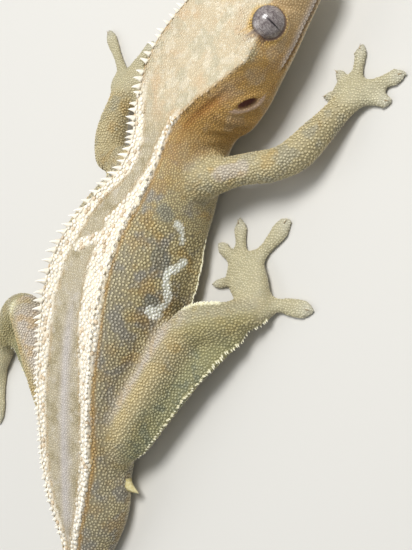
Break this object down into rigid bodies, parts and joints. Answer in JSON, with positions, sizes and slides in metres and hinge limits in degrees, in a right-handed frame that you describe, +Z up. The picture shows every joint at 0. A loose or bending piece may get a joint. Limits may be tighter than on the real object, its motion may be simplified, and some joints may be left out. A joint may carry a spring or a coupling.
{
  "type": "crested gecko, still life-size model",
  "caption": "Adult crested gecko in a slow walk, head turned to its right, with two rows of crest spines, spread toe pads and a slim tail laid on the floor",
  "frame": {"origin": "on the floor, under the middle of the whole animal's box", "axes": "+Z up, +Y from the tail towards the head along the hips, +X to the animal's right"},
  "size_m": [0.1144, 0.2124, 0.0191],
  "materials": {
    "head_skin": "fine dry scales, cream crown over golden brown cheeks",
    "body_skin": "granular scales, grey brown with pale yellow dots and cream crests",
    "limb_skin": "granular scales, olive grey, paler on the feet",
    "eye": "silver grey iris with a slit pupil under a clear wet scale"
  },
  "bodies": {
    "root": {"head": "head_skin", "lower_jaw": "head_skin", "neck": "body_skin", "chest": "body_skin", "abdomen": "body_skin", "pelvis": "body_skin", "tail_root": "body_skin", "tail_middle": "body_skin", "tail_end": "body_skin", "eye_right": "eye", "eye_left": "eye", "upper_arm_right": "limb_skin", "forearm_right": "limb_skin", "hand_right": "limb_skin", "upper_arm_left": "limb_skin", "forearm_left": "limb_skin", "hand_left": "limb_skin", "thigh_right": "limb_skin", "shin_right": "limb_skin", "foot_right": "limb_skin", "thigh_left": "limb_skin", "shin_left": "limb_skin", "foot_left": "limb_skin"}
  },
  "joints": []
}
